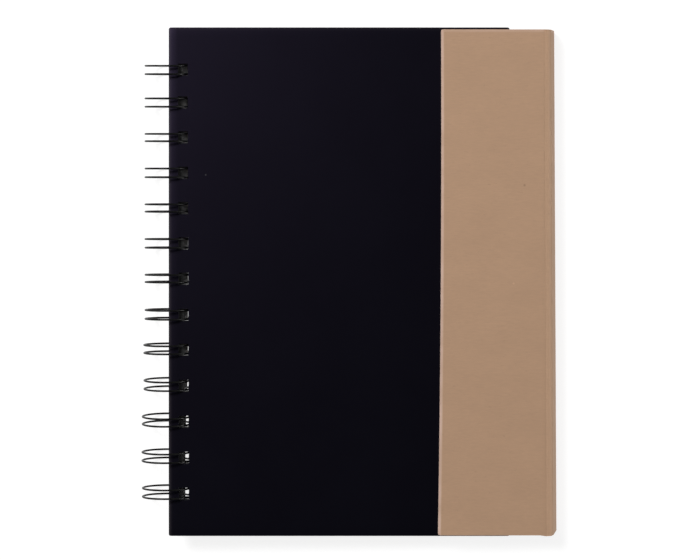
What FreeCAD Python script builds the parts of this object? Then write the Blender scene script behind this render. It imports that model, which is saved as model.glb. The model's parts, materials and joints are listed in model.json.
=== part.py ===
import FreeCAD, Part
import math
import os

import Sketcher
from FreeCAD import Placement, Rotation, Vector

# Closed hardcover notebook bound with twin-loop wire. Its kraft case runs under the book, up the
# fore-edge as a narrow wall and over the front cover as a flap.
# Book frame: x from the spine edge of the covers to the fore-edge, y along the spine (0 at its
# middle), z up from the underside of the back cover. The finished pieces are then leaned together
# until the wire loops and the fore-edge both touch the table.

SIZES = [
    ("cover_width", 121.3, "front cover from spine edge to fore-edge"),
    ("case_height", 179.7, "kraft case along the spine"),
    ("cover_overhang", 0.65, "front cover past the case at each end"),
    ("fore_edge_gap", 14.4, "front cover's fore-edge to the lower fold, along the back cover"),
    ("flap_width", 37.5, "flap from the upper fold to its free edge"),
    ("wall_turn", 104.0, "degrees that the case turns from back cover to fore-edge wall"),
    ("fold_radius", 3.0, "outer radius of both folds"),
    ("board", 2.0, "grey board"),
    ("wrap_paper", 0.18, "covering paper"),
    ("liner_paper", 0.14, "paper on the inner face"),
    ("turn_in", 15.0, "covering paper turned over onto the inner face"),
    ("wall_turn_in", 12.0, "the same at the ends of the fore-edge wall"),
    ("liner_margin", 3.0, "liner edge inside the cover edge"),
    ("edge_round", 0.3, "rounding of the wrapped edges"),
    ("page_margin", 0.85, "sheets short of the case at each end"),
    ("page_fore_margin", 1.5, "sheets short of the front cover's fore-edge"),
    ("page_stack", 6.0, "thickness of all sheets"),
    ("page_hole_inset", 3.0, "spine edge of the sheets to their holes"),
    ("page_shift", 1.2, "holes of the sheets beyond the holes of the covers"),
    ("loop_pitch", 12.7, "from loop to loop"),
    ("loop_end_room", 10.0, "least room from the middle of an outer loop to the end of the case"),
    ("loop_inside", 16.0, "inner diameter of a loop"),
    ("wire_size", 0.7, "diameter of the wire"),
    ("strand_gap", 3.03, "between the two strands of a loop"),
    ("wire_clearance", 0.25, "wire to the edge of the cover hole"),
    ("root_bend", 1.2, "radius where a strand turns along the spine"),
    ("root_clearance", 0.05, "wire above the back cover"),
    ("tip_gap", 0.5, "closed end of a loop short of the root wire"),
    ("wire_stub", 1.5, "straight end of the wire past the outer loops"),
    ("hole_inset", 3.6, "spine edge of a cover to its holes"),
    ("hole_width", 4.0, "punched hole across the spine"),
    ("hole_height", 5.0, "punched hole along the spine"),
    ("groove_margin", 0.35, "room around the root wire in the sheets"),
    ("magnet_size", 10.0, "diameter of magnets and steel discs"),
    ("magnet_depth", 1.4, "thickness of a magnet"),
    ("disc_depth", 1.0, "thickness of a steel disc"),
    ("pocket_margin", 0.2, "pocket around a magnet or disc"),
    ("magnet_inset", 12.5, "free edge of the flap to the middle of a magnet"),
    ("magnet_spread", 55.0, "middle of the book to a magnet"),
]

document = FreeCAD.newDocument("Notebook")
sheet = document.addObject("Spreadsheet::Sheet", "Sizes")
for row, (alias, value, meaning) in enumerate(SIZES, start=1):
    sheet.set(f"A{row}", meaning)
    sheet.set(f"B{row}", str(value))
    sheet.setAlias(f"B{row}", alias)
document.recompute()


def worked_out(expression):
    """Number that an expression of the sheet gives."""
    return float(sheet.evalExpression(expression))


def size(alias):
    """Value of one driving dimension."""
    return worked_out(f"Sizes.{alias}")


# Sizes that follow from the driving dimensions, as expressions of the sheet
BOARD_TOP = "(Sizes.wrap_paper + Sizes.board)"
TURN_IN_TOP = "(2 * Sizes.wrap_paper + Sizes.board)"
COVER_THICKNESS = f"({TURN_IN_TOP} + Sizes.liner_paper)"
WALL_RISE = f"(3 * {COVER_THICKNESS} + Sizes.page_stack - 2 * Sizes.fold_radius)"
WALL_WIDTH = f"({WALL_RISE} / sin(Sizes.wall_turn * 1 deg))"
CASE_HALF = "(Sizes.case_height / 2)"
COVER_HALF = f"({CASE_HALF} + Sizes.cover_overhang)"
PAGE_HALF = f"({CASE_HALF} - Sizes.page_margin)"
BACK_WIDTH = "(Sizes.cover_width + Sizes.fore_edge_gap)"
PAGE_END = "(Sizes.cover_width - Sizes.page_fore_margin)"
LOOP_COUNT = "(floor((Sizes.case_height - 2 * Sizes.loop_end_room) / Sizes.loop_pitch) + 1)"
LAST_LOOP = f"(({LOOP_COUNT} - 1) * Sizes.loop_pitch / 2)"
PAGE_HOLE = "(Sizes.hole_inset + Sizes.page_shift)"
PAGE_START = f"({PAGE_HOLE} - Sizes.page_hole_inset)"
MAGNET_REACH = "(Sizes.flap_width - Sizes.magnet_inset)"
MAGNET_RADIUS = "(Sizes.magnet_size / 2)"
POCKET_RADIUS = f"({MAGNET_RADIUS} + Sizes.pocket_margin)"
GROOVE_ROOM = "(Sizes.wire_size / 2 + Sizes.groove_margin)"

# The same as numbers, for the folds, the wire and the placements
TURN = math.radians(size("wall_turn"))
FOLD = size("fold_radius")
COVER = worked_out(COVER_THICKNESS)
STACK = 2 * COVER + size("page_stack")
BACK_END = worked_out(BACK_WIDTH)
WALL_START = Vector(BACK_END + FOLD * math.sin(TURN), 0, FOLD * (1 - math.cos(TURN)))
ALONG_WALL = Vector(math.cos(TURN), 0, math.sin(TURN))
INTO_CASE = Vector(-math.sin(TURN), 0, math.cos(TURN))
WALL_END = WALL_START + ALONG_WALL * worked_out(WALL_WIDTH)
UPPER_FOLD = WALL_END + INTO_CASE * FOLD
FLAP_START = UPPER_FOLD + Vector(0, 0, FOLD)
MAGNET_X = FLAP_START.x - worked_out(MAGNET_REACH)

WIRE_RADIUS = size("wire_size") / 2
LOOP_RADIUS = size("loop_inside") / 2 + WIRE_RADIUS
LOOP_Z = STACK / 2
HOLE_END = size("hole_inset") + size("hole_width")
WIRE_AT_PAGES = HOLE_END - WIRE_RADIUS - size("wire_clearance")
LOOP_X = WIRE_AT_PAGES - math.sqrt(LOOP_RADIUS**2 - (size("page_stack") / 2) ** 2)

# The wire's root: it runs along the spine between the back cover and the last sheet
ROOT_BEND = size("root_bend")
ROOT_Z = COVER + WIRE_RADIUS + size("root_clearance")
BEND_ANGLE = math.atan2(ROOT_BEND, LOOP_RADIUS) + math.asin(
    (ROOT_Z - LOOP_Z) / math.hypot(LOOP_RADIUS, ROOT_BEND)
)
ROOT_X = LOOP_X + LOOP_RADIUS * math.cos(BEND_ANGLE) + ROOT_BEND * math.sin(BEND_ANGLE)

# How the book rests on the table: loops and lower fold at one level
REST_SPAN = math.hypot(BACK_END - LOOP_X, LOOP_Z - FOLD)
REST_DROP = LOOP_RADIUS + WIRE_RADIUS - FOLD
LEAN = math.asin(REST_DROP / REST_SPAN) - math.atan2(LOOP_Z - FOLD, BACK_END - LOOP_X)


def leaned(x, z):
    """A book-frame point after the lean, before it is centred and set on the table."""
    turned_x = x * math.cos(LEAN) + z * math.sin(LEAN)
    turned_z = z * math.cos(LEAN) - x * math.sin(LEAN)
    return turned_x, turned_z


LOOP_AT = leaned(LOOP_X, LOOP_Z)
FOLD_AT = leaned(BACK_END, FOLD)
MIDDLE_X = (LOOP_AT[0] - LOOP_RADIUS - WIRE_RADIUS + FOLD_AT[0] + FOLD) / 2
LOWEST_Z = LOOP_AT[1] - LOOP_RADIUS - WIRE_RADIUS
REST = Placement(Vector(-MIDDLE_X, 0, -LOWEST_Z), Rotation(Vector(0, 1, 0), math.degrees(LEAN)))

# Each panel is drawn with its outer face down: local x runs from its spine or fold side
BACK_AT = Placement()
FRONT_AT = Placement(Vector(0, 0, STACK), Rotation(Vector(1, 0, 0), 180))
WALL_AT = Placement(WALL_START, Rotation(Vector(0, 1, 0), -math.degrees(TURN)))
FLAP_AT = Placement(FLAP_START, Rotation(Vector(0, 1, 0), 180))

sub_parts = []


def finish_piece(piece, label, placement):
    """Name a finished piece and set it where it rests."""
    piece.Label = label
    piece.Placement = REST.multiply(placement)
    sub_parts.append(piece)


# Sketches and features


def new_body(label):
    return document.addObject("PartDesign::Body", label + "_body")


def origin_plane(body, role):
    return next(feature for feature in body.Origin.OriginFeatures if feature.Role == role)


def new_sketch(body, name, level):
    """Empty sketch parallel to the panel, at a height given as an expression."""
    sketch = body.newObject("Sketcher::SketchObject", name)
    sketch.AttachmentSupport = (origin_plane(body, "XY_Plane"), [""])
    sketch.MapMode = "FlatFace"
    sketch.setExpression("AttachmentOffset.Base.z", level)
    return sketch


def bind(sketch, kind, geometry, point, expression):
    """Hold one coordinate of a point at an expression of the sheet."""
    value = worked_out(expression)
    index = sketch.addConstraint(Sketcher.Constraint(kind, -1, 1, geometry, point, value))
    sketch.setExpression(f"Constraints[{index}]", expression)


def rectangle(body, name, level, left, right, low, high):
    """Rectangle whose four sides lie at expressions of the sheet."""
    sketch = new_sketch(body, name, level)
    x0, x1, y0, y1 = (worked_out(side) for side in (left, right, low, high))
    corners = [Vector(x0, y0), Vector(x1, y0), Vector(x1, y1), Vector(x0, y1)]
    for start, end in zip(corners, corners[1:] + corners[:1]):
        sketch.addGeometry(Part.LineSegment(start, end))
    for line in range(4):
        sketch.addConstraint(Sketcher.Constraint("Coincident", line, 2, (line + 1) % 4, 1))
    for line in (0, 2):
        sketch.addConstraint(Sketcher.Constraint("Horizontal", line))
        sketch.addConstraint(Sketcher.Constraint("Vertical", line + 1))
    bind(sketch, "DistanceX", 0, 1, left)
    bind(sketch, "DistanceX", 1, 1, right)
    bind(sketch, "DistanceY", 0, 1, low)
    bind(sketch, "DistanceY", 2, 1, high)
    return sketch


def two_circles(body, name, level, x, spread, radius):
    """Two equal circles at x, spread to either side of the middle."""
    sketch = new_sketch(body, name, level)
    for index, place in enumerate((f"-({spread})", spread)):
        centre = Vector(worked_out(x), worked_out(place))
        round_size = worked_out(radius)
        sketch.addGeometry(Part.Circle(centre, Vector(0, 0, 1), round_size))
        bind(sketch, "DistanceX", index, 3, x)
        bind(sketch, "DistanceY", index, 3, place)
        constraint = sketch.addConstraint(Sketcher.Constraint("Radius", index, round_size))
        sketch.setExpression(f"Constraints[{constraint}]", radius)
    return sketch


def pad(body, sketch, length):
    """Raise a sketch upwards."""
    feature = body.newObject("PartDesign::Pad", "Pad")
    feature.Profile = sketch
    feature.setExpression("Length", length)
    sketch.Visibility = False
    return feature


def pocket_up(body, sketch, length):
    """Cut upwards from a sketch."""
    feature = body.newObject("PartDesign::Pocket", "Pocket")
    feature.Profile = sketch
    feature.Reversed = True
    feature.setExpression("Length", length)
    sketch.Visibility = False
    return feature


def punch_holes(body, start, depth):
    """The row of rectangular holes, one for each twin loop."""
    low = f"(-{LAST_LOOP} - Sizes.hole_height / 2)"
    high = f"(-{LAST_LOOP} + Sizes.hole_height / 2)"
    first = rectangle(body, "HoleSketch", "0", start, f"{start} + Sizes.hole_width", low, high)
    hole = pocket_up(body, first, depth)
    row_of_holes = body.newObject("PartDesign::LinearPattern", "HoleRow")
    row_of_holes.Originals = [hole]
    row_of_holes.Direction = (origin_plane(body, "Y_Axis"), [""])
    row_of_holes.setExpression("Length", f"2 * {LAST_LOOP}")
    row_of_holes.setExpression("Occurrences", LOOP_COUNT)
    body.Tip = row_of_holes


# Panels: a board, its covering paper and its liner


class Panel:
    """One stiff panel of the case, drawn with its outer face at z = 0."""

    def __init__(self, name, length, half, placement, ends, turn_in, holes=False):
        self.name = name
        self.length = length
        self.half = half
        self.placement = placement
        self.turned_at_start, self.turned_at_end = ends
        self.turn_in = turn_in
        self.holes = holes

    def sides(self, inset):
        """Outline inset from the wrapped edges, and not from the edges at a fold."""
        left = inset if self.turned_at_start else "0"
        right = f"{self.length} - {inset}" if self.turned_at_end else self.length
        return left, right, f"-({self.half} - {inset})", f"({self.half} - {inset})"

    def covering_paper(self):
        """Paper over the outer face and edges, turned in on the inner face."""
        body = new_body(self.name + "_wrap")
        outer = rectangle(body, "Outline", "0", "0", self.length, f"-{self.half}", self.half)
        sheet_block = pad(body, outer, TURN_IN_TOP)
        document.recompute()
        self.round_edges(body, sheet_block)
        board_room = rectangle(body, "BoardRoom", "Sizes.wrap_paper", *self.sides("Sizes.wrap_paper"))
        pocket_up(body, board_room, "Sizes.board")
        window = rectangle(body, "Window", BOARD_TOP, *self.sides(self.turn_in))
        pocket_up(body, window, "Sizes.wrap_paper")
        if self.holes:
            punch_holes(body, "Sizes.hole_inset", TURN_IN_TOP)
        finish_piece(body, self.name + "_wrap", self.placement)

    def round_edges(self, body, block):
        """Round the edges where the paper goes round the board, but not those at a fold."""
        open_ends = []
        if not self.turned_at_start:
            open_ends.append(0.0)
        if not self.turned_at_end:
            open_ends.append(worked_out(self.length))
        names = []
        for index, edge in enumerate(block.Shape.Edges, start=1):
            across = edge.BoundBox
            at_fold = any(max(abs(across.XMin - x), abs(across.XMax - x)) < 1e-6 for x in open_ends)
            if not at_fold and across.ZMin < 1e-6:
                names.append(f"Edge{index}")
        rounding = body.newObject("PartDesign::Fillet", "EdgeRound")
        rounding.Base = (block, names)
        rounding.setExpression("Radius", "Sizes.edge_round")

    def stiff_board(self, pocket_level=None, pocket_depth=None, pocket_x=None):
        """Grey board, with two round pockets where magnets or discs lie in it."""
        body = new_body(self.name + "_board")
        outline = rectangle(body, "Outline", "Sizes.wrap_paper", *self.sides("Sizes.wrap_paper"))
        pad(body, outline, "Sizes.board")
        if pocket_level:
            rounds = two_circles(
                body, "Rounds", pocket_level, pocket_x, "Sizes.magnet_spread", POCKET_RADIUS
            )
            pocket_up(body, rounds, pocket_depth)
        if self.holes:
            punch_holes(body, "Sizes.hole_inset", TURN_IN_TOP)
        finish_piece(body, self.name + "_board", self.placement)

    def inner_liner(self):
        """Paper glued over the inner face: it fills the window and laps onto the turn-ins."""
        body = new_body(self.name + "_liner")
        window = rectangle(body, "Window", BOARD_TOP, *self.sides(self.turn_in))
        pad(body, window, "Sizes.wrap_paper")
        lap = rectangle(body, "Lap", TURN_IN_TOP, *self.sides("Sizes.liner_margin"))
        pad(body, lap, "Sizes.liner_paper")
        if self.holes:
            punch_holes(body, "Sizes.hole_inset", f"{TURN_IN_TOP} + Sizes.liner_paper")
        finish_piece(body, self.name + "_liner", self.placement)


def round_inserts(label, panel_placement, level, depth, x):
    """Two magnets or steel discs in the pockets of a board."""
    towards_top = panel_placement.Rotation.multVec(Vector(0, 1, 0)).y
    for side, name in ((towards_top, "top"), (-towards_top, "bottom")):
        insert = document.addObject("Part::Cylinder", f"{label}_{name}_round")
        insert.setExpression("Radius", MAGNET_RADIUS)
        insert.setExpression("Height", depth)
        place = Placement(Vector(x, side * size("magnet_spread"), level), Rotation())
        finish_piece(insert, f"{label}_{name}", panel_placement.multiply(place))


def fold_paper(label, centre, first_angle, turn):
    """The case's paper where it bends round a fold: a thin part of a tube."""
    outer = document.addObject("Part::Cylinder", label + "_outer")
    outer.setExpression("Radius", "Sizes.fold_radius")
    outer.setExpression("Height", "Sizes.case_height")
    outer.setExpression("Angle", turn)
    inner = document.addObject("Part::Cylinder", label + "_inner")
    inner.setExpression("Radius", "Sizes.fold_radius - Sizes.wrap_paper")
    inner.setExpression("Height", "Sizes.case_height")
    shell = document.addObject("Part::Cut", label + "_shell")
    shell.Base = outer
    shell.Tool = inner
    from_centre = Vector(math.cos(first_angle), 0, math.sin(first_angle))
    onwards = Vector(-math.sin(first_angle), 0, math.cos(first_angle))
    turned = Rotation(from_centre, onwards, Vector(0, -1, 0), "XYZ")
    top_end = centre + Vector(0, size("case_height") / 2, 0)
    finish_piece(shell, label, Placement(top_end, turned))


def page_block():
    """All sheets as one block, with their holes and the hollow that the root wire presses in."""
    body = new_body("page_block")
    outline = rectangle(body, "Outline", "0", PAGE_START, PAGE_END, f"-{PAGE_HALF}", PAGE_HALF)
    pad(body, outline, "Sizes.page_stack")
    reach = f"({LAST_LOOP} + Sizes.strand_gap / 2 + Sizes.root_bend + Sizes.wire_stub + {GROOVE_ROOM})"
    near_side = f"({ROOT_X} - {GROOVE_ROOM})"
    far_side = f"({ROOT_X} + {GROOVE_ROOM})"
    groove = rectangle(body, "RootGroove", "0", near_side, far_side, f"-{reach}", reach)
    pocket_up(body, groove, "Sizes.wire_size + Sizes.root_clearance + Sizes.groove_margin")
    punch_holes(body, PAGE_HOLE, "Sizes.page_stack")
    finish_piece(body, "page_block", Placement(Vector(0, 0, COVER), Rotation()))


# The wire


def on_loop(angle, along):
    """Point on the centreline of a strand."""
    x = LOOP_X + LOOP_RADIUS * math.cos(angle)
    z = LOOP_Z + LOOP_RADIUS * math.sin(angle)
    return Vector(x, along, z)


def onwards_at(angle):
    """Direction in which a strand runs round its loop."""
    return Vector(-math.sin(angle), 0, math.cos(angle))


def arc(start, middle, end):
    return Part.Arc(start, middle, end).toShape()


def root_corner(along, side):
    """Quarter bend from a strand, coming down into its root, to the run along the spine."""
    strand_end = on_loop(BEND_ANGLE, along)
    down = onwards_at(BEND_ANGLE) * -ROOT_BEND
    sideways = Vector(0, side * ROOT_BEND, 0)
    half_way = math.sqrt(0.5)
    middle = strand_end + down * half_way + sideways * (1 - half_way)
    return strand_end, middle, strand_end + down + sideways


def loop_edges(along):
    """One twin loop: up from the root, round, closed end, and back to the root."""
    half_gap = size("strand_gap") / 2
    root_angle = BEND_ANGLE - ROOT_BEND / LOOP_RADIUS
    tip_angle = 2 * math.pi + root_angle - (size("tip_gap") + half_gap) / LOOP_RADIUS
    middle_angle = (BEND_ANGLE + tip_angle) / 2
    first, second = along - half_gap, along + half_gap
    first_top, first_bend, first_run = root_corner(first, -1)
    second_top, second_bend, second_run = root_corner(second, 1)
    closed_end = on_loop(tip_angle, along) + onwards_at(tip_angle) * half_gap
    edges = [
        arc(first_run, first_bend, first_top),
        arc(first_top, on_loop(middle_angle, first), on_loop(tip_angle, first)),
        arc(on_loop(tip_angle, first), closed_end, on_loop(tip_angle, second)),
        arc(on_loop(tip_angle, second), on_loop(middle_angle, second), second_top),
        arc(second_top, second_bend, second_run),
    ]
    return first_run, edges, second_run


def twin_loop_wire():
    """One continuous wire, swept along all loops and the runs between their roots."""
    count = round(worked_out(LOOP_COUNT))
    pitch = size("loop_pitch")
    stub = Vector(0, size("wire_stub"), 0)
    loops = [loop_edges((index - (count - 1) / 2) * pitch) for index in range(count)]
    start = loops[0][0] - stub
    edges = []
    reached = start
    for run_start, loop, run_end in loops:
        edges.append(Part.LineSegment(reached, run_start).toShape())
        edges.extend(loop)
        reached = run_end
    edges.append(Part.LineSegment(reached, reached + stub).toShape())
    path = Part.Wire(edges)
    section = Part.Wire([Part.Circle(start, Vector(0, 1, 0), WIRE_RADIUS).toShape()])
    swept = path.makePipeShell([section], True, False)
    expected = math.pi * WIRE_RADIUS**2 * path.Length
    if abs(swept.Volume - expected) > 0.01 * expected:
        raise RuntimeError("the wire's sweep lost volume")
    wire = document.addObject("Part::Feature", "wire")
    wire.Shape = swept
    finish_piece(wire, "twin_loop_wire", Placement())


# The notebook

back_cover = Panel("back_cover", BACK_WIDTH, CASE_HALF, BACK_AT, (True, False),
                   "Sizes.turn_in", holes=True)
front_cover = Panel("front_cover", "Sizes.cover_width", COVER_HALF, FRONT_AT, (True, True),
                    "Sizes.turn_in", holes=True)
fore_edge = Panel("fore_edge", WALL_WIDTH, CASE_HALF, WALL_AT, (False, False),
                  "Sizes.wall_turn_in")
flap = Panel("flap", "Sizes.flap_width", CASE_HALF, FLAP_AT, (False, True), "Sizes.turn_in")

for panel in (back_cover, front_cover, fore_edge, flap):
    panel.covering_paper()
    panel.inner_liner()
back_cover.stiff_board()
fore_edge.stiff_board()
front_cover.stiff_board("Sizes.wrap_paper", "Sizes.disc_depth", f"{MAGNET_X}")
flap.stiff_board(f"{BOARD_TOP} - Sizes.magnet_depth", "Sizes.magnet_depth", MAGNET_REACH)

round_inserts("front_cover_disc", FRONT_AT, size("wrap_paper"), "Sizes.disc_depth", MAGNET_X)
magnet_level = worked_out(f"{BOARD_TOP} - Sizes.magnet_depth")
round_inserts("flap_magnet", FLAP_AT, magnet_level, "Sizes.magnet_depth", worked_out(MAGNET_REACH))

lower_centre = Vector(BACK_END, 0, FOLD)
fold_paper("lower_hinge_paper", lower_centre, -math.pi / 2, "Sizes.wall_turn")
fold_paper("upper_hinge_paper", UPPER_FOLD, TURN - math.pi / 2, "180 - Sizes.wall_turn")

page_block()
twin_loop_wire()
document.recompute()

# Check everything before writing
for item in document.Objects:
    if "Invalid" in item.State or "Error" in item.State:
        raise RuntimeError(f"{item.Label} failed: {item.State}")
for piece in sub_parts:
    if piece.Shape.isNull() or not piece.Shape.isValid():
        raise RuntimeError(f"{piece.Label} has no sound shape")

os.makedirs("parts", exist_ok=True)
for piece in sub_parts:
    piece.Shape.exportStep(f"parts/{piece.Label}.step")
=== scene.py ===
import json
import math
import random

import bmesh
import bpy
from mathutils import Matrix, Vector


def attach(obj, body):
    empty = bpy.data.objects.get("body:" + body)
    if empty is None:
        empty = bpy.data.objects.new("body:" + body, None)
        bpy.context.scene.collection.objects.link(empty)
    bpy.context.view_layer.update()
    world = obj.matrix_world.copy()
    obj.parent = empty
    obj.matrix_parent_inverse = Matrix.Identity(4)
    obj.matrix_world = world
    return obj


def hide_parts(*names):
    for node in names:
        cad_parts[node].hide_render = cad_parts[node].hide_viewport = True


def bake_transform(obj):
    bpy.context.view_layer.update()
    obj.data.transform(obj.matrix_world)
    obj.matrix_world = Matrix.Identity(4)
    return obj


# Looks of a closed wire-bound notebook: black front cover, kraft case with a flap, black twin-loop wire.
# Pieces are drawn in the book's own frame: x from the spine edge of the covers, y along the spine,
# z up from the underside of the back cover. The book leans a little on its wire, so they are then
# turned into the room.

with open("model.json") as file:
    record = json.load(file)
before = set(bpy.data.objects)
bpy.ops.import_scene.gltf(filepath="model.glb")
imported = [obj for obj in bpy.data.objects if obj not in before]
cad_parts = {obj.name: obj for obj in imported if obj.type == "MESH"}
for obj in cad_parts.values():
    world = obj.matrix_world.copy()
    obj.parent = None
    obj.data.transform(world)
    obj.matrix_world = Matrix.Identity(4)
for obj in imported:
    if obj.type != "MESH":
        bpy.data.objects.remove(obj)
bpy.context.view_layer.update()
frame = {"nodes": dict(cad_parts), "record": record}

MM = 0.001
TOLERANCE = 0.01 * MM

# The book's frame, from the flap's flat face and the corners of its covers
flap_mount = next(m for m in frame["record"]["mounts"] if m["name"] == "flap_face")
OUT_OF_COVER = Vector(flap_mount["axis"]).normalized()
ALONG_SPINE = Vector((0, 1, 0))
TO_FORE_EDGE = ALONG_SPINE.cross(OUT_OF_COVER)
LEAN = Matrix((TO_FORE_EDGE, ALONG_SPINE, OUT_OF_COVER)).transposed()


def leaned_box(node):
    """Lowest and highest corner of a CAD node along the book's axes."""
    points = [LEAN.transposed() @ v.co for v in frame["nodes"][node].data.vertices]
    low = Vector([min(p[axis] for p in points) for axis in range(3)])
    high = Vector([max(p[axis] for p in points) for axis in range(3)])
    return low, high


BOOK_CORNER = Vector((leaned_box("front_cover_wrap")[0].x, 0, leaned_box("back_cover_wrap")[0].z))
TO_ROOM = LEAN.to_4x4() @ Matrix.Translation(BOOK_CORNER)


def book_box(node):
    """The same in the book's frame."""
    low, high = leaned_box(node)
    return low - BOOK_CORNER, high - BOOK_CORNER


# Sizes read from the frame
front_low, front_high = book_box("front_cover_wrap")
back_low, back_high = book_box("back_cover_wrap")
flap_low, flap_high = book_box("flap_wrap")
pages_low, pages_high = book_box("page_block")
wire_low, wire_high = book_box("twin_loop_wire")
upper_low, upper_high = book_box("upper_hinge_paper")
lower_low, lower_high = book_box("lower_hinge_paper")

COVER_TOP = front_high.z
CASE_HALF = flap_high.y
PANEL = flap_high.z - flap_low.z
PAPER = 0.18 * MM

# Folds of the case
FOLD = lower_high.x - lower_low.x
LOWER_FOLD = Vector((lower_low.x, 0, lower_low.z + FOLD))
UPPER_FOLD = Vector((upper_low.x, 0, upper_high.z - FOLD))
WALL_TURN = math.pi / 2 + math.asin((lower_high.z - LOWER_FOLD.z) / FOLD)
INTO_CASE = Vector((-math.sin(WALL_TURN), 0, math.cos(WALL_TURN)))
UP_THE_WALL = Vector((math.cos(WALL_TURN), 0, math.sin(WALL_TURN)))
WALL_START = LOWER_FOLD - INTO_CASE * FOLD
WALL_END = UPPER_FOLD - INTO_CASE * FOLD

# Binding
LOOP_COUNT = 13
LOOP_PITCH = 12.7 * MM
WIRE_RADIUS = 0.35 * MM
LOOP_RADIUS = (wire_high.z - wire_low.z) / 2 - WIRE_RADIUS
LOOP_X = wire_low.x + WIRE_RADIUS + LOOP_RADIUS
LOOP_Z = (wire_high.z + wire_low.z) / 2
HOLE_INSET = 3.6 * MM
HOLE_WIDTH = 4.0 * MM
HOLE_HEIGHT = 4.3 * MM
PAGE_HOLE_INSET = 3.0 * MM
ROW_OFF_MIDDLE = 0.72 * MM
FIRST_HOLE_LOW = 1.1 * MM
LOOP_LEANS = (1.95, 1.6, 1.3, 1.0, 0.85, 0.55, 0.4, 0.45, 0.53, 0.83, 0.92, 0.43, 0.08)
LOOP_SLIDES = (0.15, 0.05, 0.2, 0.23, 0.34, 0.35, 0.48, 0.28, 0.6, 0.53, 0.45, 0.2, 0.0)


def loop_y(index):
    """Place of a twin loop along the spine; the first is at the top of the photograph.

    The row is punched a little off the middle of the cover, and its first hole a little low."""
    low = FIRST_HOLE_LOW if index == 0 else 0.0
    return ((LOOP_COUNT - 1) / 2 - index) * LOOP_PITCH + ROW_OFF_MIDDLE - low


def strands_y(index, z):
    """Where a loop's two strands pass a height: each loop slides and leans a little."""
    lean = LOOP_LEANS[index] * (z - LOOP_Z) / (2 * LOOP_RADIUS)
    return loop_y(index) + (LOOP_SLIDES[index] - lean) * MM


# Mesh helpers


# Paler edges: part wear, part painted highlight. The same attribute also carries the painted shade round the
# sheets' holes.
WEAR_AND_PAINTED_LIGHT = "wear"
WORN_WIDTH = 1.1 * MM
WORN_FULLY = 0.6 * MM
TOP_WEAR_AND_HIGHLIGHT = 0.4


def worn(distance):
    """Wear and painted highlight of the paper by its distance from an edge."""
    return max(0.0, 1 - max(0.0, distance - WORN_FULLY) / (WORN_WIDTH - WORN_FULLY))


def wear_lines(low, high):
    """Lines along a plate close to its edges, where the wear and its painted highlight fade."""
    return [line for fade in (WORN_FULLY, WORN_WIDTH) for line in (low + fade, high - fade)]


def wear_and_highlight_rim(bm, low, high, open_x):
    """Mark how worn each point of a plate is, with a painted highlight on the wear: most on its long edges,
    but not at an open one, and a little at its top end only, the end that faces the light."""
    layer = bm.verts.layers.float.new(WEAR_AND_PAINTED_LIGHT)
    for vert in bm.verts:
        ends = worn(high.y - vert.co.y) * TOP_WEAR_AND_HIGHLIGHT
        closed = [x for x in (low.x, high.x) if not any(near(x, end) for end in open_x)]
        vert[layer] = max([ends, *(worn(abs(vert.co.x - x)) for x in closed)])


def new_piece(name, bm, materials, body=None, smooth_angle=35):
    """Turn a mesh drawn in the book's frame into a piece, which rides on a body where one is given."""
    bmesh.ops.recalc_face_normals(bm, faces=bm.faces)
    bmesh.ops.transform(bm, matrix=TO_ROOM, verts=bm.verts)
    mesh = bpy.data.meshes.new(name)
    bm.to_mesh(mesh)
    bm.free()
    mesh.shade_smooth()
    mesh.set_sharp_from_angle(angle=math.radians(smooth_angle))
    for material in materials:
        mesh.materials.append(material)
    piece = bpy.data.objects.new(name, mesh)
    bpy.context.scene.collection.objects.link(piece)
    even = piece.modifiers.new("even_normals", "WEIGHTED_NORMAL")
    even.keep_sharp = True
    if body:
        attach(piece, body)
    return piece


def no_shift(y):
    return 0.0


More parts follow.
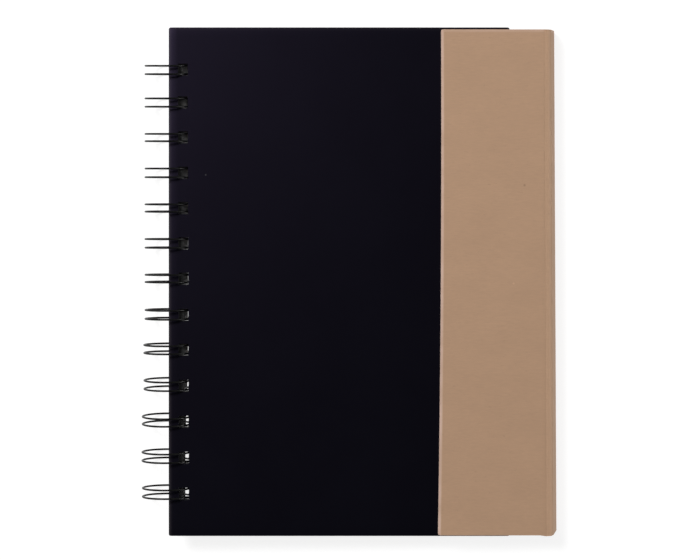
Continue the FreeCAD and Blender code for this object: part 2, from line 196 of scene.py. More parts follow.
def plate(bm, low, high, extra_x=(), extra_y=(), hole_start=None, hole_width=HOLE_WIDTH,
          hole_shift=no_shift):
    """Plate from low to high, with extra lines across it, and punched where hole_start is given.

    hole_shift moves the holes across the plate, by their place along it. In a punched hole the wall
    has three bands, and the middle one is the board (second material)."""
    holes = []
    if hole_start is not None:
        for index in range(LOOP_COUNT):
            middle = strands_y(index, (low.z + high.z) / 2)
            holes.append((middle - HOLE_HEIGHT / 2, middle + HOLE_HEIGHT / 2))
    hole_x = (hole_start, hole_start + hole_width) if holes else ()
    columns = sorted({low.x, high.x, *extra_x, *hole_x})
    rows = sorted({low.y, high.y, *extra_y, *(end for hole in holes for end in hole)})
    hole_rows = {rows.index(start) + step for start, end in holes
                 for step in range(rows.index(end) - rows.index(start))}
    hole_columns = {column for column, x in enumerate(columns[:-1]) if holes and hole_x[0] <= x < hole_x[1]}
    made = {}

    def corner(row, column, z):
        key = (row, column, z)
        if key not in made:
            x = columns[column] + (hole_shift(rows[row]) if columns[column] in hole_x else 0.0)
            made[key] = bm.verts.new((x, rows[row], z))
        return made[key]

    def is_hole(row, column):
        return row in hole_rows and column in hole_columns

    def is_outside(row, column):
        return not (0 <= row < len(rows) - 1 and 0 <= column < len(columns) - 1)

    thick = high.z - low.z > 4 * PAPER
    levels = [low.z, low.z + PAPER, high.z - PAPER, high.z] if thick else [low.z, high.z]
    for row in range(len(rows) - 1):
        for column in range(len(columns) - 1):
            if is_hole(row, column):
                continue
            ring = [(row, column), (row, column + 1), (row + 1, column + 1), (row + 1, column)]
            bm.faces.new([corner(*place, high.z) for place in ring])
            bm.faces.new([corner(*place, low.z) for place in reversed(ring)])
            beside = [(row - 1, column), (row, column + 1), (row + 1, column), (row, column - 1)]
            for side, next_cell in enumerate(beside):
                a, b = ring[side], ring[(side + 1) % 4]
                if is_outside(*next_cell):
                    wall = [low.z, high.z]
                elif is_hole(*next_cell):
                    wall = levels
                else:
                    continue
                for step, (z0, z1) in enumerate(zip(wall, wall[1:])):
                    face = bm.faces.new([corner(*a, z0), corner(*b, z0), corner(*b, z1), corner(*a, z1)])
                    face.material_index = int(len(wall) > 2 and step == 1)


def near(a, b):
    return abs(a - b) < TOLERANCE


def round_rim(bm, low, high, outer_z, open_x, radius, segments=4):
    """Round the outer edges of a plate, but not those at an open end, where the case folds on."""
    chosen = []
    for edge in bm.edges:
        a, b = (v.co for v in edge.verts)
        sides = 0
        for axis, limit in ((0, low.x), (0, high.x), (1, low.y), (1, high.y)):
            if not (axis == 0 and any(near(limit, x) for x in open_x)):
                sides += near(a[axis], limit) and near(b[axis], limit)
        on_face = near(a.z, outer_z) and near(b.z, outer_z)
        if (sides and on_face) or sides == 2:
            chosen.append(edge)
    bmesh.ops.bevel(bm, geom=chosen, offset=radius, segments=segments, profile=0.5, affect="EDGES")


def steps(start, end, count):
    return [start + (end - start) * step / count for step in range(count + 1)]


# Node helpers


def new_material(name):
    """Empty node material with its Principled shader."""
    material = bpy.data.materials.new(name)
    material.use_nodes = True
    tree = material.node_tree
    return material, tree, tree.nodes["Principled BSDF"]


def add_node(tree, kind, settings=None, **inputs):
    """New node; inputs are values or sockets, with spaces in their names written as underscores."""
    node = tree.nodes.new(kind)
    for key, value in (settings or {}).items():
        setattr(node, key, value)
    for key, value in inputs.items():
        socket = node.inputs[key.replace("_", " ")]
        if isinstance(value, bpy.types.NodeSocket):
            tree.links.new(value, socket)
        else:
            socket.default_value = value
    return node


def place_on(tree, stretch):
    """Place on the object, with waves per metre along x, y and z."""
    place = add_node(tree, "ShaderNodeTexCoord").outputs["Object"]
    return add_node(tree, "ShaderNodeMapping", Vector=place, Scale=stretch).outputs[0]


def noise(tree, stretch, detail=3.0, roughness=0.5):
    where = place_on(tree, stretch)
    made = add_node(tree, "ShaderNodeTexNoise", Vector=where, Scale=1.0, Detail=detail, Roughness=roughness)
    return made.outputs["Fac"]


def ramp(tree, value, *stops):
    """Colour ramp from (place, colour) stops."""
    node = add_node(tree, "ShaderNodeValToRGB", Fac=value)
    elements = node.color_ramp.elements
    while len(elements) < len(stops):
        elements.new(0.5)
    for element, (place, colour) in zip(elements, stops):
        element.position = place
        element.color = (*colour, 1)
    return node.outputs["Color"]


def grey(level):
    return (level, level, level)


def mix(tree, factor, first, second, blend="MIX"):
    node = add_node(tree, "ShaderNodeMix", {"data_type": "RGBA", "blend_type": blend})
    for index, value in ((0, factor), (6, first), (7, second)):
        if isinstance(value, bpy.types.NodeSocket):
            tree.links.new(value, node.inputs[index])
        else:
            node.inputs[index].default_value = value if index == 0 else (*value, 1)
    return node.outputs[2]


def speck(tree, base, place, radius, colour):
    """Small mark on the paper at a place in the book's frame."""
    where = add_node(tree, "ShaderNodeTexCoord").outputs["Object"]
    centre = TO_ROOM @ Vector(place)
    distance = add_node(tree, "ShaderNodeVectorMath", {"operation": "DISTANCE"})
    tree.links.new(where, distance.inputs[0])
    distance.inputs[1].default_value = centre
    share = add_node(tree, "ShaderNodeMapRange", {"interpolation_type": "SMOOTHSTEP"})
    tree.links.new(distance.outputs["Value"], share.inputs["Value"])
    share.inputs["From Min"].default_value = radius
    share.inputs["From Max"].default_value = radius * 0.4
    return mix(tree, share.outputs["Result"], base, colour)


def bump(tree, shader, height, strength, distance):
    node = add_node(tree, "ShaderNodeBump", Height=height, Strength=strength, Distance=distance)
    tree.links.new(node.outputs["Normal"], shader.inputs["Normal"])


def scaled(colour, factor):
    return tuple(channel * factor for channel in colour)


# Materials

KRAFT = (0.364, 0.2285, 0.1435)
KRAFT_WEAR_AND_HIGHLIGHT = (0.53, 0.37, 0.3)
BLACK_PAPER = (0.0019, 0.0020, 0.0032)
BLACK_WEAR_AND_HIGHLIGHT = (0.014, 0.0125, 0.0145)
PAINTED_HOLE_SHADE = (0.012, 0.011, 0.013)
VIOLET_SHEEN = (0.68, 0.52, 1.0)
DARK_SPECK_AT = (126.4 * MM, 34.2 * MM, flap_high.z)
PALE_SPECK_AT = (122.5 * MM, -0.6 * MM, flap_high.z)
LINT_AT = (13.2 * MM, 38.0 * MM, COVER_TOP)


def kraft_paper(name, tone=1.0, specks=False):
    """Unbleached wrapping paper: faint clouds, fine fibres across the book, a few darker ones, and paler
    edges, which are worn and carry a painted highlight."""
    material, tree, shader = new_material(name)
    colour = scaled(KRAFT, tone)
    clouds = noise(tree, (60, 110, 60), detail=4)
    base = ramp(tree, clouds, (0.3, scaled(colour, 0.975)), (0.7, scaled(colour, 1.025)))
    fibres = noise(tree, (420, 2100, 900), detail=3, roughness=0.6)
    base = mix(tree, 1.0, base, ramp(tree, fibres, (0.3, grey(0.95)), (0.7, grey(1.045))), "MULTIPLY")
    flecks = noise(tree, (500, 1500, 1100), detail=2)
    base = mix(tree, 1.0, base, ramp(tree, flecks, (0.68, grey(1)), (0.78, grey(0.86))), "MULTIPLY")
    if specks:
        base = speck(tree, base, DARK_SPECK_AT, 0.55 * MM, scaled(colour, 0.72))
        base = speck(tree, base, PALE_SPECK_AT, 0.5 * MM, scaled(colour, 1.2))
    # Paler edges mixed in: part wear, part painted highlight.
    wear = add_node(tree, "ShaderNodeAttribute", {"attribute_name": WEAR_AND_PAINTED_LIGHT}).outputs["Fac"]
    edge_wear_and_highlight = add_node(tree, "ShaderNodeMath", {"operation": "MULTIPLY"})
    tree.links.new(wear, edge_wear_and_highlight.inputs[0])
    tree.links.new(ramp(tree, clouds, (0.35, grey(0.55)), (0.65, grey(1.0))), edge_wear_and_highlight.inputs[1])
    base = mix(tree, edge_wear_and_highlight.outputs[0], base, KRAFT_WEAR_AND_HIGHLIGHT)
    tree.links.new(base, shader.inputs["Base Color"])
    dull = ramp(tree, fibres, (0.3, grey(0.66)), (0.7, grey(0.8)))
    tree.links.new(dull, shader.inputs["Roughness"])
    shader.inputs["Specular IOR Level"].default_value = 0.25
    shader.inputs["Sheen Weight"].default_value = 0.2
    shader.inputs["Sheen Roughness"].default_value = 0.35
    bump(tree, shader, fibres, 0.1, 0.2 * MM)
    return material


def black_paper(name):
    """Smooth black covering paper with a violet sheen, paler at its edges, where it is a little worn and
    carries a painted highlight.
    """
    material, tree, shader = new_material(name)
    cloud = noise(tree, (45, 45, 45), detail=3)
    base = ramp(tree, cloud, (0.3, scaled(BLACK_PAPER, 0.9)), (0.7, scaled(BLACK_PAPER, 1.12)))
    base = speck(tree, base, LINT_AT, 0.32 * MM, grey(0.05))
    # Paler rims mixed in: part wear, part painted highlight.
    wear = add_node(tree, "ShaderNodeAttribute", {"attribute_name": WEAR_AND_PAINTED_LIGHT}).outputs["Fac"]
    base = mix(tree, wear, base, BLACK_WEAR_AND_HIGHLIGHT)
    tree.links.new(base, shader.inputs["Base Color"])
    grain = noise(tree, (3200, 3200, 3200), detail=2)
    satin = ramp(tree, grain, (0.3, grey(0.36)), (0.7, grey(0.4)))
    tree.links.new(satin, shader.inputs["Roughness"])
    shader.inputs["Specular IOR Level"].default_value = 0.068
    shader.inputs["Specular Tint"].default_value = (*VIOLET_SHEEN, 1)
    bump(tree, shader, grain, 0.06, 0.1 * MM)
    return material


def board_paper(name):
    """Pulp board, seen where it is punched, coloured near black to paint the shade inside the holes."""
    material, tree, shader = new_material(name)
    layers = noise(tree, (500, 500, 6000), detail=3)
    base = ramp(tree, layers, (0.3, (0.03, 0.028, 0.032)), (0.7, (0.06, 0.056, 0.062)))
    tree.links.new(base, shader.inputs["Base Color"])
    shader.inputs["Roughness"].default_value = 0.9
    bump(tree, shader, layers, 0.4, 0.2 * MM)
    return material


def sheet_paper(name):
    """White writing paper, with painted shade darkening it round its punched holes."""
    material, tree, shader = new_material(name)
    fibres = noise(tree, (900, 900, 4200), detail=3)
    # Painted shade: the base is darkened round the punched holes.
    wear = add_node(tree, "ShaderNodeAttribute", {"attribute_name": WEAR_AND_PAINTED_LIGHT}).outputs["Fac"]
    base = ramp(tree, fibres, (0.3, (0.66, 0.655, 0.655)), (0.7, (0.82, 0.815, 0.81)))
    base = mix(tree, wear, base, PAINTED_HOLE_SHADE)
    tree.links.new(base, shader.inputs["Base Color"])
    shader.inputs["Roughness"].default_value = 0.85
    bump(tree, shader, fibres, 0.2, 0.1 * MM)
    return material


def coated_wire(name):
    """Black nylon coating on the wire, satin, slightly uneven."""
    material, tree, shader = new_material(name)
    wear = noise(tree, (700, 700, 700), detail=3)
    base = ramp(tree, wear, (0.35, grey(0.001)), (0.7, grey(0.003)))
    tree.links.new(base, shader.inputs["Base Color"])
    gloss = ramp(tree, wear, (0.3, grey(0.3)), (0.7, grey(0.42)))
    tree.links.new(gloss, shader.inputs["Roughness"])
    shader.inputs["Specular IOR Level"].default_value = 0.16
    bump(tree, shader, wear, 0.1, 0.1 * MM)
    return material


def plated_metal(name):
    """Nickel plate on the hidden catch."""
    material, tree, shader = new_material(name)
    haze = noise(tree, (400, 400, 400), detail=2)
    base = ramp(tree, haze, (0.3, grey(0.42)), (0.7, grey(0.6)))
    tree.links.new(base, shader.inputs["Base Color"])
    shader.inputs["Metallic"].default_value = 1.0
    shader.inputs["Roughness"].default_value = 0.3
    return material


kraft = kraft_paper("kraft", specks=True)
kraft_inside = kraft_paper("kraft_inside", 1.04)
black = black_paper("black_cover")
grey_board = board_paper("grey_board")
page_paper = sheet_paper("page_paper")
wire_coating = coated_wire("wire_coating")
nickel = plated_metal("nickel")


# Front cover: board wrapped in black paper, with punched holes

RIM_ROUND = 0.45 * MM
PILLOW_WIDTH = 3.2 * MM
PILLOW_LINES = 6
SPINE_PILLOW = 0.22 * MM
OTHER_PILLOW = 0.07 * MM
FRONT_HOLE_START = 3.45 * MM
FRONT_HOLE_WIDTH = 3.5 * MM
HOLE_ROW_LEAN = 0.275 * MM


def pillow(distance):
    """Share of the drop towards an edge, where the board is pressed thinner."""
    return max(0.0, 1 - distance / PILLOW_WIDTH) ** 2


def front_hole_shift(y):
    """The row of holes leans a little across the cover."""
    return -HOLE_ROW_LEAN * y / front_high.y


def front_cover():
    """The covered board, pressed thinner towards its edges and most at the spine."""
    bm = bmesh.new()
    fine = steps(RIM_ROUND * 1.2, PILLOW_WIDTH, PILLOW_LINES)
    extra_x = [front_low.x + d for d in fine] + [front_high.x - d for d in fine]
    extra_y = [front_low.y + d for d in fine] + [front_high.y - d for d in fine]
    plate(bm, front_low, front_high, extra_x, extra_y, FRONT_HOLE_START, FRONT_HOLE_WIDTH, front_hole_shift)
    round_rim(bm, front_low, front_high, front_high.z, (), RIM_ROUND)
    wear_and_highlight_rim(bm, front_low, front_high, ())
    for vert in bm.verts:
        point = vert.co
        if point.z > (front_low.z + front_high.z) / 2:
            ends = pillow(point.y - front_low.y) + pillow(front_high.y - point.y)
            sides = pillow(front_high.x - point.x) + ends
            point.z -= SPINE_PILLOW * pillow(point.x - front_low.x) + OTHER_PILLOW * sides
    piece = new_piece("front_cover_paper", bm, (black, grey_board), "book")
    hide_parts("front_cover_wrap", "front_cover_board")


def liner(name, node, material, slot, **holes):
    """Paper on the inner face of a cover, punched with it."""
    low, high = book_box(node)
    bm = bmesh.new()
    plate(bm, low, high, **holes)
    piece = new_piece(name, bm, (material,), "book")
    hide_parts(node)


front_cover()
liner("front_cover_lining", "front_cover_liner", black, "black_cover_paper", hole_start=FRONT_HOLE_START,
      hole_width=FRONT_HOLE_WIDTH, hole_shift=front_hole_shift)
liner("back_cover_lining", "back_cover_liner", kraft_inside, "kraft_paper", hole_start=HOLE_INSET)


# Sheets: a loose stack whose holes step aside from top to bottom, as the round wire pulls them

LEAF_COUNT = 60
LEAF_FILL = 0.86
STACK_STEP = 0.85 * MM
END_SPREAD, HOLE_SPREAD = 0.08, 0.05
TOP_HOLE_SHIFT = -0.9 * MM
BOTTOM_HOLE_SHIFT = 1.4 * MM
TAIL_HOLE_SHIFT = 0.45 * MM
TOP_PAINTED_SHADE = 0.95
PAINTED_SHADE_FALL = 2.6
TAIL_FROM, TAIL_TO = loop_y(8), loop_y(11)


def page_hole_shift(depth, y):
    """How far a sheet's holes lie from their mean place; the lowest sheets fan back towards the tail."""
    tail = min(1.0, max(0.0, (y - TAIL_FROM) / (TAIL_TO - TAIL_FROM)))
    tail = tail * tail * (3 - 2 * tail)
    lowest = BOTTOM_HOLE_SHIFT + (TAIL_HOLE_SHIFT - BOTTOM_HOLE_SHIFT) * tail
    return TOP_HOLE_SHIFT + (lowest - TOP_HOLE_SHIFT) * depth


def page_leaves():
    shuffle = random.Random(5)
    pitch = (pages_high.z - pages_low.z) / LEAF_COUNT
    bm = bmesh.new()
    layer = bm.verts.layers.float.new(WEAR_AND_PAINTED_LIGHT)
    for leaf in range(LEAF_COUNT):
        made_before = len(bm.verts)
        depth = 1 - (leaf + 0.5) / LEAF_COUNT
        slip = Vector(((2 * depth - 1) * STACK_STEP, shuffle.gauss(0, END_SPREAD) * MM, 0))
        jitter = shuffle.gauss(0, HOLE_SPREAD) * MM
        floor_z = pages_low.z + leaf * pitch
        low = Vector((pages_low.x, pages_low.y, floor_z)) + slip
        high = Vector((pages_high.x, pages_high.y, floor_z + LEAF_FILL * pitch)) + slip
        plate(bm, low, high, hole_start=low.x + PAGE_HOLE_INSET,
              hole_shift=lambda y: page_hole_shift(depth, y) - slip.x + jitter)
        bm.verts.ensure_lookup_table()
        for vert in bm.verts[made_before:]:
            at_hole = not near(vert.co.x, low.x) and not near(vert.co.x, high.x)
            # Painted shade round the holes, strongest on the top sheets.
            vert[layer] = at_hole * TOP_PAINTED_SHADE * (1 - depth) ** PAINTED_SHADE_FALL
    piece = new_piece("page_leaves", bm, (page_paper,), "book")
    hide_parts("page_block")


page_leaves()


# Kraft case: one sheet over three boards, folded a little askew

ASKEW_AT_FLAP = -0.4 * MM
ASKEW_DOWNWARDS = 0.079
FREE_EDGE_LEAN = 0.55 * MM
FREE_EDGE_BOW = 0.46 * MM
FOOT_TUCK = 0.3 * MM
FOOT_TUCK_START = 2 * MM
FORE_EDGE_LEAN = 0.4 * MM
FORE_EDGE_PRESSED_IN = 0.2 * MM
CREASE_DEPTH = 0.16 * MM
CREASE_FROM_BOARD = math.radians(17)
CREASE_SPREAD = math.radians(8)
RIDGE_HEIGHT = 0.07 * MM
RIDGE_WIDTH = 0.5 * MM
RIDGE_PAST_FOLD = 0.1 * MM
RIDGE_LINES = (0.2, 0.4, 0.6, 0.8, 1.1, 1.5, 2.0)
FREE_EDGE_LINES = (0.7, 1.1)
# How pale each fold is painted: wear, and on the lower fold also a painted highlight where the wall catches
# the light.
LOWER_FOLD_WEAR_AND_HIGHLIGHT = 1.0
UPPER_FOLD_WEAR = 0.0
LINES_ALONG = 24
FOLD_STEPS = 30


def askew(point):
    """Shift a point of the case as the sheet was folded: along the spine, more the lower it lies,
    and in at the fore-edge, more towards the top of the photograph."""
    point.y += ASKEW_AT_FLAP + ASKEW_DOWNWARDS * (flap_high.z - point.z)
    fore_share = min(1.0, max(0.0, (point.x - front_high.x) / (LOWER_FOLD.x - front_high.x)))
    point.x -= (FORE_EDGE_PRESSED_IN + FORE_EDGE_LEAN * point.y / CASE_HALF) * fore_share


def back_cover():
    bm = bmesh.new()
    across = wear_lines(back_low.x, back_high.x) + [front_high.x]
    plate(bm, back_low, back_high, across, wear_lines(back_low.y, back_high.y), HOLE_INSET)
    round_rim(bm, back_low, back_high, back_low.z, (back_high.x,), RIM_ROUND)
    wear_and_highlight_rim(bm, back_low, back_high, (back_high.x,))
    for vert in bm.verts:
        in_hole_row = HOLE_INSET - TOLERANCE < vert.co.x < HOLE_INSET + HOLE_WIDTH + TOLERANCE
        if not (in_hole_row and abs(vert.co.y) < CASE_HALF - RIM_ROUND * 1.5):
            askew(vert.co)
    piece = new_piece("back_cover_paper", bm, (kraft, grey_board), "book")
    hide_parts("back_cover_wrap", "back_cover_board")


def fore_edge():
    """The narrow wall, drawn flat from the lower fold and then stood up."""
    low = Vector((0, -CASE_HALF, 0))
    high = Vector(((WALL_END - WALL_START).length, CASE_HALF, PANEL))
    bm = bmesh.new()
    lines = steps(low.y, high.y, LINES_ALONG)[1:-1] + wear_lines(low.y, high.y)
    plate(bm, low, high, wear_lines(low.x, high.x), lines)
    round_rim(bm, low, high, low.z, (low.x, high.x), RIM_ROUND)
    wear_and_highlight_rim(bm, low, high, (high.x,))
    for vert in bm.verts:
        x, y, z = vert.co
        vert.co = WALL_START + UP_THE_WALL * x + INTO_CASE * z + Vector((0, y, 0))
        askew(vert.co)
    piece = new_piece("fore_edge_paper", bm, (kraft,), "fore_edge")
    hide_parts("fore_edge_wrap", "fore_edge_board")


def flap():
    """The flap: raised a little beside its fold, tucked in at its foot, and its free edge leans and bows."""
    bm = bmesh.new()
    near_fold = [flap_high.x - distance * MM for distance in RIDGE_LINES]
    near_edge = [flap_low.x + distance * MM for distance in FREE_EDGE_LINES]
    lines = steps(flap_low.y, flap_high.y, LINES_ALONG)[1:-1] + wear_lines(flap_low.y, flap_high.y)
    plate(bm, flap_low, flap_high, near_edge + near_fold, lines)
    round_rim(bm, flap_low, flap_high, flap_high.z, (flap_high.x,), RIM_ROUND)
    wear_and_highlight_rim(bm, flap_low, flap_high, (flap_high.x,))
    width = flap_high.x - flap_low.x
    for vert in bm.verts:
        point = vert.co
        from_fold = flap_high.x - point.x
        if point.z > (flap_low.z + flap_high.z) / 2:
            point.z += RIDGE_HEIGHT * math.exp(-((from_fold + RIDGE_PAST_FOLD) / RIDGE_WIDTH) ** 2)
        along = point.y / CASE_HALF
        point.x += (FREE_EDGE_LEAN * along + FREE_EDGE_BOW * (1 - along ** 2)) * from_fold / width
        point.y += FOOT_TUCK * (1 - along) / 2 * min(1.0, from_fold / FOOT_TUCK_START)
        askew(point)
    piece = new_piece("flap_paper", bm, (kraft,), "flap")
    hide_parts("flap_wrap", "flap_board")


def fold_strip(name, node, centre, first_angle, last_angle, wear):
    """The case's paper round a fold, pressed in a little where it leaves a board."""
    bm = bmesh.new()
    angles = steps(first_angle, last_angle, FOLD_STEPS)
    lines = steps(-CASE_HALF, CASE_HALF, LINES_ALONG)
    skins = []
    layer = bm.verts.layers.float.new(WEAR_AND_PAINTED_LIGHT)
    for depth in (0, PAPER):
        skin = []
        for y in lines:
            line = []
            for angle in angles:
                crease = 0.0
                for board_angle in (first_angle, last_angle):
                    off_crease = (abs(angle - board_angle) - CREASE_FROM_BOARD) / CREASE_SPREAD
                    crease += CREASE_DEPTH * math.exp(-off_crease ** 2)
                reach = FOLD - depth - crease
                point = centre + Vector((reach * math.cos(angle), y, reach * math.sin(angle)))
                askew(point)
                line.append(bm.verts.new(point))
                line[-1][layer] = wear
            skin.append(line)
        skins.append(skin)
    outer, inner = skins
    last_line, last_angle_step = len(lines) - 1, len(angles) - 1
    for i in range(last_line):
        for j in range(last_angle_step):
            bm.faces.new((outer[i][j], outer[i][j + 1], outer[i + 1][j + 1], outer[i + 1][j]))
            bm.faces.new((inner[i][j], inner[i + 1][j], inner[i + 1][j + 1], inner[i][j + 1]))
    for j in range(last_angle_step):
        for i in (0, last_line):
            bm.faces.new((outer[i][j], outer[i][j + 1], inner[i][j + 1], inner[i][j]))
    for i in range(last_line):
        for j in (0, last_angle_step):
            bm.faces.new((outer[i][j], outer[i + 1][j], inner[i + 1][j], inner[i][j]))
    piece = new_piece(name, bm, (kraft,))
    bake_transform(piece)
    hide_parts(node)


back_cover()
fore_edge()
flap()
fold_strip("lower_fold_paper", "lower_hinge_paper", LOWER_FOLD, -math.pi / 2, WALL_TURN - math.pi / 2,
           LOWER_FOLD_WEAR_AND_HIGHLIGHT)
fold_strip("upper_fold_paper", "upper_hinge_paper", UPPER_FOLD, WALL_TURN - math.pi / 2, math.pi / 2,
           UPPER_FOLD_WEAR)


# Wire: each loop leans, slides and is pressed out of round a little, as hand-closed loops are

LOOP_GAPS = (2.99, 2.96, 2.6, 3.1, 2.6, 3.07, 2.6, 3.15, 2.83, 3.03, 2.65, 3.03, 3.05)
LEFT_PRESS = (0.3, 0.3, 0.3, 0.3, 0.3, 0.3, 0.3, 0.3, -0.15, -0.1, -0.7, -0.8, -0.65)
RIGHT_PRESS = -0.45 * MM
ROOT_BEND = 1.2 * MM
ROOT_Z = COVER_TOP - 8.05 * MM
TIP_GAP = 0.5 * MM
WIRE_STUB = 1.5 * MM
ARC_STEPS = 56
BEND_STEPS = 6
TIP_STEPS = 12

ROOT_ANGLE = math.atan2(ROOT_BEND, LOOP_RADIUS) + math.asin(
    (ROOT_Z - LOOP_Z) / math.hypot(LOOP_RADIUS, ROOT_BEND)
)


def wire_points():
    """Centreline of the one wire through all loops."""
    root_angle = ROOT_ANGLE - ROOT_BEND / LOOP_RADIUS
    corner = steps(0, math.pi / 2, BEND_STEPS)
    tip = steps(0, math.pi, TIP_STEPS)
    points = []
    for index in reversed(range(LOOP_COUNT)):
        half_gap = LOOP_GAPS[index] * MM / 2
        left = LEFT_PRESS[index] * MM
        right = RIGHT_PRESS + front_hole_shift(loop_y(index))
        tip_angle = 2 * math.pi + root_angle - (TIP_GAP + half_gap) / LOOP_RADIUS
        arc = steps(ROOT_ANGLE, tip_angle, ARC_STEPS)

        def place(angle, y, forward=0.0):
            x = LOOP_X + LOOP_RADIUS * math.cos(angle) - forward * math.sin(angle)
            z = LOOP_Z + LOOP_RADIUS * math.sin(angle) + forward * math.cos(angle)
            x += left * (1 - math.cos(angle)) / 2 + right * (1 + math.cos(angle)) / 2
            return Vector((x, y + strands_y(index, z), z))

        for turn in corner:
            sideways = half_gap + ROOT_BEND * (1 - math.sin(turn))
            points.append(place(ROOT_ANGLE, -sideways, -ROOT_BEND * math.cos(turn)))
        points.extend(place(angle, -half_gap) for angle in arc[1:])
        for turn in tip[1:]:
            points.append(place(tip_angle, -half_gap * math.cos(turn), half_gap * math.sin(turn)))
        points.extend(place(angle, half_gap) for angle in reversed(arc[:-1]))
        for turn in reversed(corner[:-1]):
            sideways = half_gap + ROOT_BEND * (1 - math.sin(turn))
            points.append(place(ROOT_ANGLE, sideways, -ROOT_BEND * math.cos(turn)))
    stub = Vector((0, WIRE_STUB, 0))
    return [points[0] - stub, *points, points[-1] + stub]


def twin_loop_wire():
    curve = bpy.data.curves.new("wire_line", "CURVE")
    curve.dimensions = "3D"
    curve.bevel_depth = WIRE_RADIUS
    curve.bevel_resolution = 4
    curve.use_fill_caps = True
    spline = curve.splines.new("POLY")
    points = [TO_ROOM @ point for point in wire_points()]
    spline.points.add(len(points) - 1)
    for spline_point, point in zip(spline.points, points):
        spline_point.co = (*point, 1)
    line = bpy.data.objects.new("wire_line", curve)
    bpy.context.scene.collection.objects.link(line)
    mesh = bpy.data.meshes.new_from_object(line.evaluated_get(bpy.context.evaluated_depsgraph_get()))
    bpy.data.objects.remove(line)
    mesh.materials.clear()
    mesh.materials.append(wire_coating)
    mesh.shade_smooth()
    piece = bpy.data.objects.new("wire_loops", mesh)
    bpy.context.scene.collection.objects.link(piece)
    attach(piece, "book")
    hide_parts("twin_loop_wire")


twin_loop_wire()


# CAD nodes that stay, with their finishes

NODE_FINISHES = {
    "fore_edge_liner": kraft_inside,
    "flap_liner": kraft_inside,
    "front_cover_disc_top": nickel,
    "front_cover_disc_bottom": nickel,
    "flap_magnet_top": nickel,
    "flap_magnet_bottom": nickel,
}
for node, finish in NODE_FINISHES.items():
    materials = frame["nodes"][node].data.materials
    materials.clear()
    materials.append(finish)


# Floor, light and camera

FLOOR_SIZE = 6.0
FLOOR_COLOUR = (0.22, 0.22, 0.22)
FLOOR_LIFT = 0.84
HORIZON_LIGHT = 0.65
OVERHEAD_LIGHT = 0.05
WINDOW_SHARE = 0.5
KEY_PLACE, KEY_SIZE, KEY_POWER = (-0.45, 0.42, 1.0), 0.35, 13.0
SIDE_PLACE, SIDE_SIZE, SIDE_POWER = (1.2, 0.0, 0.12), 0.2, 8.0


def floor():
    """Grey table with a glow that only the camera and the gloss see: near white, it keeps the shadow."""
    bpy.ops.mesh.primitive_plane_add(size=FLOOR_SIZE, location=(0, 0, 0))
    table = bpy.context.object
    table.name = "floor"
    material, tree, shader = new_material("floor")
    shader.inputs["Base Color"].default_value = (*FLOOR_COLOUR, 1)
    shader.inputs["Roughness"].default_value = 0.9
    shader.inputs["Specular IOR Level"].default_value = 0.0
    glow = add_node(tree, "ShaderNodeEmission", Color=(1, 1, 1, 1))
    rays = add_node(tree, "ShaderNodeLightPath")
    seen = add_node(tree, "ShaderNodeMath", {"operation": "MAXIMUM"})
    tree.links.new(rays.outputs["Is Camera Ray"], seen.inputs[0])
    tree.links.new(rays.outputs["Is Glossy Ray"], seen.inputs[1])
    lift = add_node(tree, "ShaderNodeMath", {"operation": "MULTIPLY"})
    tree.links.new(seen.outputs[0], lift.inputs[0])
    lift.inputs[1].default_value = FLOOR_LIFT
    tree.links.new(lift.outputs[0], glow.inputs["Strength"])
    total = add_node(tree, "ShaderNodeAddShader")
    tree.links.new(shader.outputs[0], total.inputs[0])
    tree.links.new(glow.outputs[0], total.inputs[1])
    tree.links.new(total.outputs[0], tree.nodes["Material Output"].inputs["Surface"])
    table.data.materials.append(material)


def area_lamp(name, place, size, power):
    """Soft square lamp that looks at the middle of the book."""
    data = bpy.data.lights.new(name, "AREA")
    data.size = size
    data.energy = power
    lamp = bpy.data.objects.new(name, data)
    bpy.context.scene.collection.objects.link(lamp)
    lamp.location = place
    lamp.rotation_euler = (-Vector(place)).to_track_quat("-Z", "Y").to_euler()


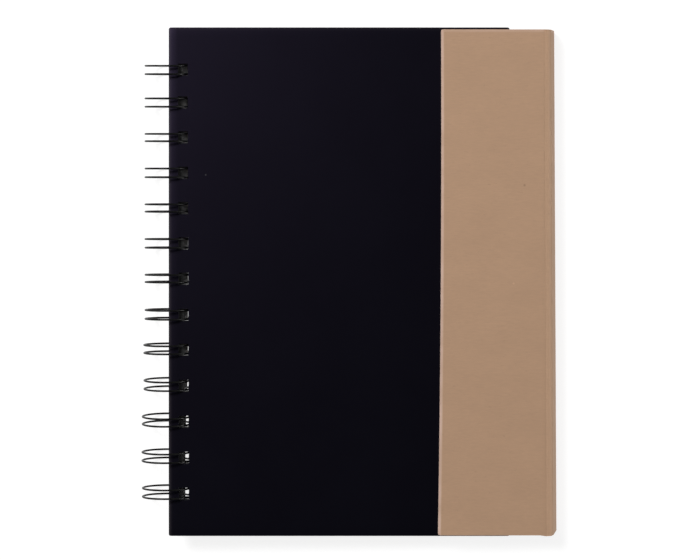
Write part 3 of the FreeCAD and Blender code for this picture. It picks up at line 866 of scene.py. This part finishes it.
def room_light(at_horizon, overhead):
    """Soft light from all round, weaker from straight above, where the camera hangs, and
    stronger from the side at the top of the photograph. The camera sees it white."""
    world = bpy.data.worlds.new("studio")
    bpy.context.scene.world = world
    world.use_nodes = True
    tree = world.node_tree
    background = tree.nodes["Background"]
    background.inputs["Color"].default_value = (1, 1, 1, 1)
    direction = add_node(tree, "ShaderNodeTexCoord").outputs["Generated"]
    parts = add_node(tree, "ShaderNodeSeparateXYZ", Vector=direction).outputs
    strength = add_node(tree, "ShaderNodeMapRange", Value=parts["Z"])
    strength.inputs["To Min"].default_value = at_horizon
    strength.inputs["To Max"].default_value = overhead
    side = add_node(tree, "ShaderNodeMapRange", Value=parts["Y"])
    side.inputs["From Min"].default_value = -1.0
    side.inputs["To Min"].default_value = 1.0 - WINDOW_SHARE
    side.inputs["To Max"].default_value = 1.0 + WINDOW_SHARE
    total = add_node(tree, "ShaderNodeMath", {"operation": "MULTIPLY"})
    tree.links.new(strength.outputs["Result"], total.inputs[0])
    tree.links.new(side.outputs["Result"], total.inputs[1])
    seen = add_node(tree, "ShaderNodeMath", {"operation": "MAXIMUM"})
    tree.links.new(total.outputs[0], seen.inputs[0])
    tree.links.new(add_node(tree, "ShaderNodeLightPath").outputs["Is Camera Ray"], seen.inputs[1])
    tree.links.new(seen.outputs[0], background.inputs["Strength"])


floor()
room_light(HORIZON_LIGHT, OVERHEAD_LIGHT)
area_lamp("key", KEY_PLACE, KEY_SIZE, KEY_POWER)
area_lamp("side", SIDE_PLACE, SIDE_SIZE, SIDE_POWER)

SENSOR_WIDTH = 36
CAMERA_ABOVE_COVER = 650 * MM
SEEN_WIDTH = 249.1 * MM
MIDDLE_FROM_SPINE_EDGE = 64.52 * MM
MIDDLE_ABOVE_CENTRE = 0.6 * MM


def camera():
    """Square above the front cover, framed as the photograph."""
    data = bpy.data.cameras.new("camera")
    data.sensor_width = SENSOR_WIDTH
    data.lens = SENSOR_WIDTH * CAMERA_ABOVE_COVER / SEEN_WIDTH
    eye = bpy.data.objects.new("camera", data)
    bpy.context.scene.collection.objects.link(eye)
    above = Vector((MIDDLE_FROM_SPINE_EDGE, MIDDLE_ABOVE_CENTRE, COVER_TOP + CAMERA_ABOVE_COVER))
    eye.matrix_world = TO_ROOM @ Matrix.Translation(above)
    bpy.context.scene.camera = eye


camera()
bpy.context.scene.view_settings.view_transform = "Standard"
